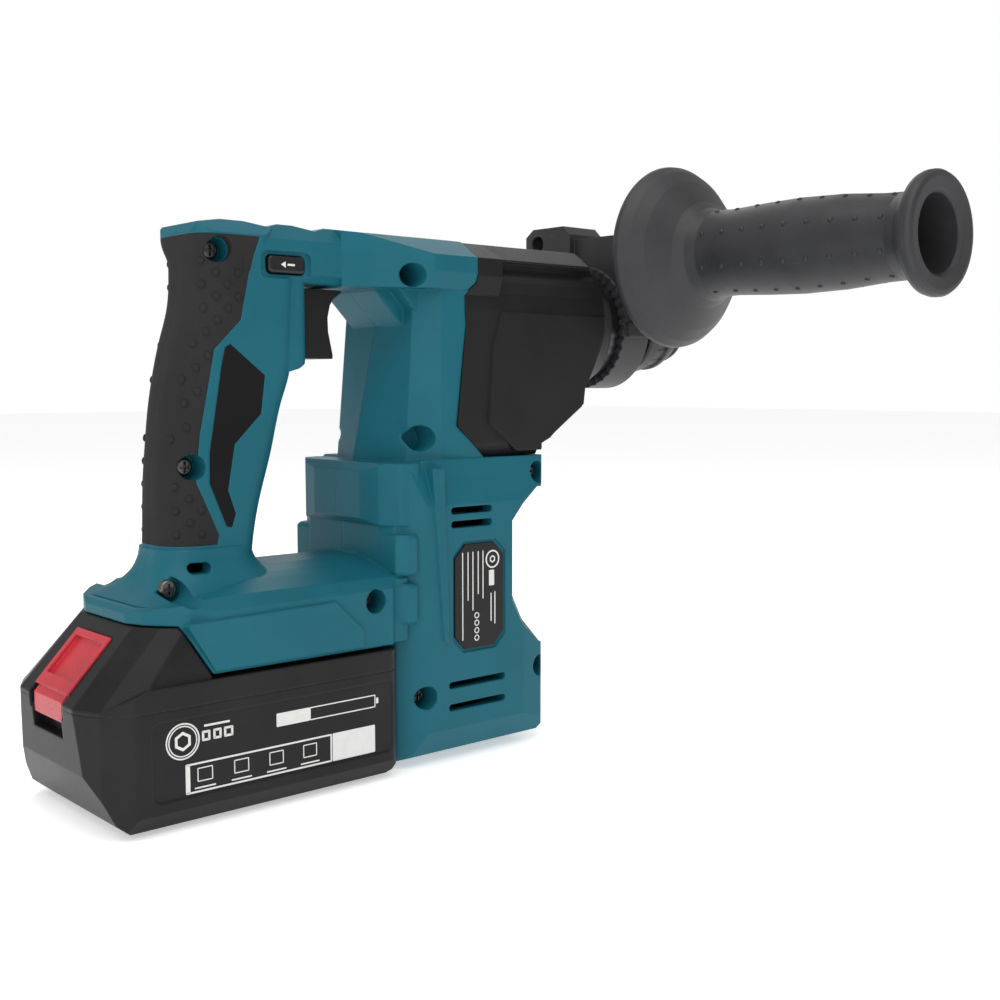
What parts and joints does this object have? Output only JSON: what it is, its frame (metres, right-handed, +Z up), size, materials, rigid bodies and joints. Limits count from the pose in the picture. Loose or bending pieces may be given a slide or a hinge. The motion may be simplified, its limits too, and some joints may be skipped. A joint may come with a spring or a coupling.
{
  "type": "rotary hammer",
  "caption": "Cordless rotary hammer with vertical motor, D-shaped handle, slide-on battery, quick-release bit chuck and clamp-on side handle.",
  "frame": {"origin": "middle of the motor casing's flat bottom, on the motor's axis and on the plane between the casing halves", "axes": "+X forward along the bit, +Y to the tool's left, +Z up"},
  "size_m": [0.3051, 0.2118, 0.232],
  "materials": {
    "housing_plastic": "fine moulded grain",
    "black_plastic": "fine moulded grain",
    "handle_plastic": "smooth satin",
    "soft_grip": "dimpled matt rubber",
    "red_plastic": "satin",
    "gloss_black": "polished",
    "dark_steel": "dark turned steel",
    "bright_steel": "ground",
    "screw_steel": "plated",
    "cast_alloy": "as cast",
    "lamination_steel": "stacked sheets",
    "copper": "enamelled wire",
    "board_green": "coated board",
    "seal_rubber": "matt",
    "cell_sleeve": "shrink sleeve"
  },
  "bodies": {
    "housing": {"housing_right": "housing_plastic", "housing_left": "housing_plastic", "grip_cover_right": "soft_grip", "grip_cover_left": "soft_grip", "inlay_right": "soft_grip", "inlay_left": "soft_grip", "gear_housing": "black_plastic", "barrel": "dark_steel", "bearing_plate": "cast_alloy", "motor_bearing_lower": "bright_steel", "motor_bearing_upper": "bright_steel", "countershaft_bearing_rear": "bright_steel", "countershaft_bearing_front": "bright_steel", "spindle_bearing_rear": "bright_steel", "spindle_bearing_front": "bright_steel", "stator_core": "lamination_steel", "stator_coils": "copper", "switch_body": "gloss_black", "control_board": "board_green", "terminal_block": "black_plastic", "rating_plate_right": "gloss_black", "rating_plate_left": "gloss_black", "handle_screws": "screw_steel", "case_screws": "screw_steel"},
    "rotor": {"motor_shaft": "bright_steel", "rotor_core": "lamination_steel", "cooling_fan": "black_plastic", "bevel_pinion": "bright_steel"},
    "countershaft": {"bevel_wheel": "bright_steel", "countershaft": "bright_steel", "wobble_hub": "bright_steel", "drive_pinion": "bright_steel"},
    "wobble": {"wobble_ring": "bright_steel"},
    "piston": {"piston": "cast_alloy"},
    "striker": {"striker": "bright_steel"},
    "impact_bolt": {"impact_bolt": "bright_steel"},
    "spindle": {"spindle": "bright_steel", "bit_holder": "dark_steel", "spindle_gear": "bright_steel", "lock_balls": "bright_steel", "spring_seat": "bright_steel", "chuck_spring": "bright_steel", "dust_cap": "seal_rubber"},
    "chuck_sleeve": {"chuck_sleeve": "black_plastic"},
    "trigger": {"trigger": "black_plastic"},
    "direction_button": {"direction_button": "gloss_black"},
    "mode_knob": {"mode_knob": "black_plastic"},
    "battery": {"battery_lower_case": "black_plastic", "battery_upper_case": "black_plastic", "battery_cells": "cell_sleeve", "battery_contacts": "copper"},
    "battery_release": {"release_button": "red_plastic", "release_latch": "black_plastic"},
    "side_handle": {"clamp_bracket": "handle_plastic", "clamp_band": "handle_plastic", "clamp_bolt": "screw_steel"},
    "side_grip": {"side_grip": "handle_plastic", "grip_nut": "screw_steel"}
  },
  "joints": [
    {"name": "spindle_spin", "type": "hinge", "parent": "housing", "child": "spindle", "pos_m": [0.11, 0, 0.167], "axis": [1, 0, 0], "continuous": true},
    {"name": "countershaft_spin", "type": "hinge", "parent": "housing", "child": "countershaft", "pos_m": [0.02, 0, 0.132], "axis": [1, 0, 0], "continuous": true},
    {"name": "rotor_spin", "type": "hinge", "parent": "housing", "child": "rotor", "pos_m": [0, 0, 0.055], "axis": [0, 0, 1], "continuous": true},
    {"name": "piston_slide", "type": "slide", "parent": "housing", "child": "piston", "axis": [1, 0, 0], "range_m": [-0.0045, 0.0045]},
    {"name": "wobble_rock", "type": "hinge", "parent": "housing", "child": "wobble", "pos_m": [0.022, 0, 0.132], "axis": [0, 1, 0], "range_deg": [-8, 8]},
    {"name": "striker_slide", "type": "slide", "parent": "piston", "child": "striker", "axis": [1, 0, 0], "range_m": [-0.005, 0.008]},
    {"name": "bolt_slide", "type": "slide", "parent": "spindle", "child": "impact_bolt", "axis": [1, 0, 0], "range_m": [0, 0.006]},
    {"name": "sleeve_pull", "type": "slide", "parent": "spindle", "child": "chuck_sleeve", "axis": [-1, 0, 0], "range_m": [0, 0.006], "stiffness_N_per_m": 1500, "springref_m": -0.005},
    {"name": "trigger_press", "type": "slide", "parent": "housing", "child": "trigger", "axis": [-1, 0, 0], "range_m": [0, 0.006], "stiffness_N_per_m": 800, "springref_m": -0.004},
    {"name": "direction_push", "type": "slide", "parent": "housing", "child": "direction_button", "axis": [0, 1, 0], "range_m": [-0.004, 0.004]},
    {"name": "mode_turn", "type": "hinge", "parent": "housing", "child": "mode_knob", "pos_m": [0.038, 0.032, 0.152], "axis": [0, 1, 0], "range_deg": [-90, 90]},
    {"name": "battery_slide", "type": "slide", "parent": "housing", "child": "battery", "axis": [-1, 0, 0], "range_m": [0, 0.08]},
    {"name": "release_press", "type": "slide", "parent": "battery", "child": "battery_release", "axis": [-0.6794, 0, -0.7337], "range_m": [0, 0.004], "stiffness_N_per_m": 600, "springref_m": -0.003},
    {"name": "handle_swing", "type": "hinge", "parent": "housing", "child": "side_handle", "pos_m": [0.102, 0, 0.167], "axis": [1, 0, 0], "range_deg": [-180, 180]},
    {"name": "grip_turn", "type": "hinge", "parent": "side_handle", "child": "side_grip", "pos_m": [0.102, -0.1, 0.195], "axis": [0, 1, 0], "continuous": true}
  ],
  "couplings": [
    {"joint": "countershaft_spin", "follows": "spindle_spin", "ratio": -3},
    {"joint": "rotor_spin", "follows": "spindle_spin", "ratio": -8.25},
    {"joint": "wobble_rock", "follows": "piston_slide", "rad_per_m": 28.571}
  ]
}
